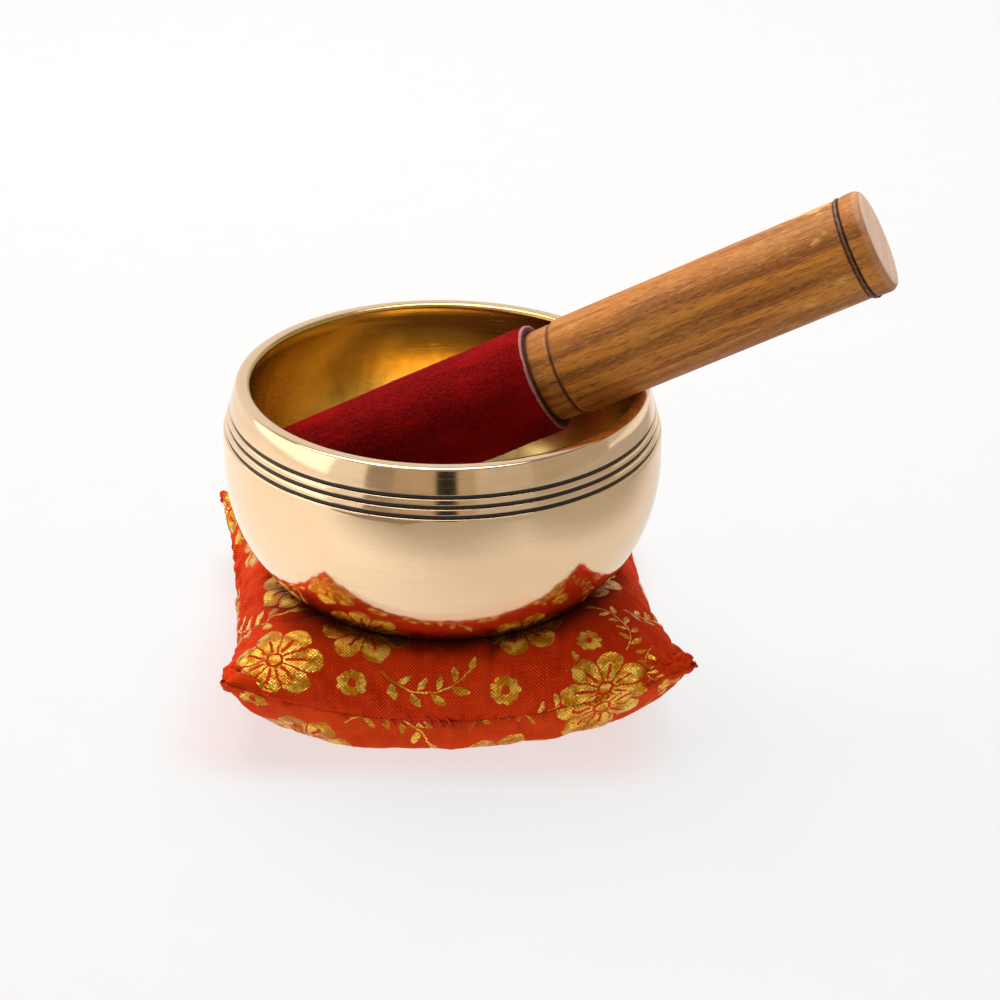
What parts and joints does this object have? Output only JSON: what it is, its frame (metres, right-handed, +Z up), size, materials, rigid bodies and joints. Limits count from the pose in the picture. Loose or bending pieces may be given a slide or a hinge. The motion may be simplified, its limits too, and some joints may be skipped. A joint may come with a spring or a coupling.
{
  "type": "singing bowl with cushion and striker",
  "caption": "Polished brass singing bowl resting on a square stuffed cushion, with a suede-wrapped wooden striker leaning on its rim.",
  "frame": {"origin": "on the plane that the cushion rests on, where the bowl's axis meets it", "axes": "+Z up along the bowl's axis, +X towards the side on which the striker leans out, +Y away from the hand-closed edge of the cushion"},
  "size_m": [0.1731, 0.121, 0.1324],
  "materials": {
    "polished_brass": "mirror-polished, with fine turning marks",
    "black_lacquer": "satin black fill",
    "printed_cotton": "plain-woven cotton with a gold foil print",
    "fibre_filling": "loose fibre",
    "sewing_thread": "twisted thread",
    "turned_hardwood": "oiled, turned",
    "red_suede": "napped suede",
    "waxed_cord": "waxed cord"
  },
  "bodies": {
    "cushion": {"cushion_top_panel": "printed_cotton", "cushion_bottom_panel": "printed_cotton", "cushion_filling": "fibre_filling", "cushion_edge_thread": "sewing_thread", "cushion_closing_stitches": "sewing_thread"},
    "bowl": {"bowl": "polished_brass", "groove_lacquer": "black_lacquer"},
    "striker": {"striker_handle": "turned_hardwood", "striker_suede_wrap": "red_suede", "striker_end_cord": "waxed_cord"}
  },
  "joints": [
    {"name": "bowl_lift", "type": "slide", "parent": "cushion", "child": "bowl", "axis": [0, 0, 1], "range_m": [0, 0.1]},
    {"name": "striker_lift", "type": "slide", "parent": "bowl", "child": "striker", "axis": [0.6351, -0.098, 0.7662], "range_m": [0, 0.1]}
  ]
}
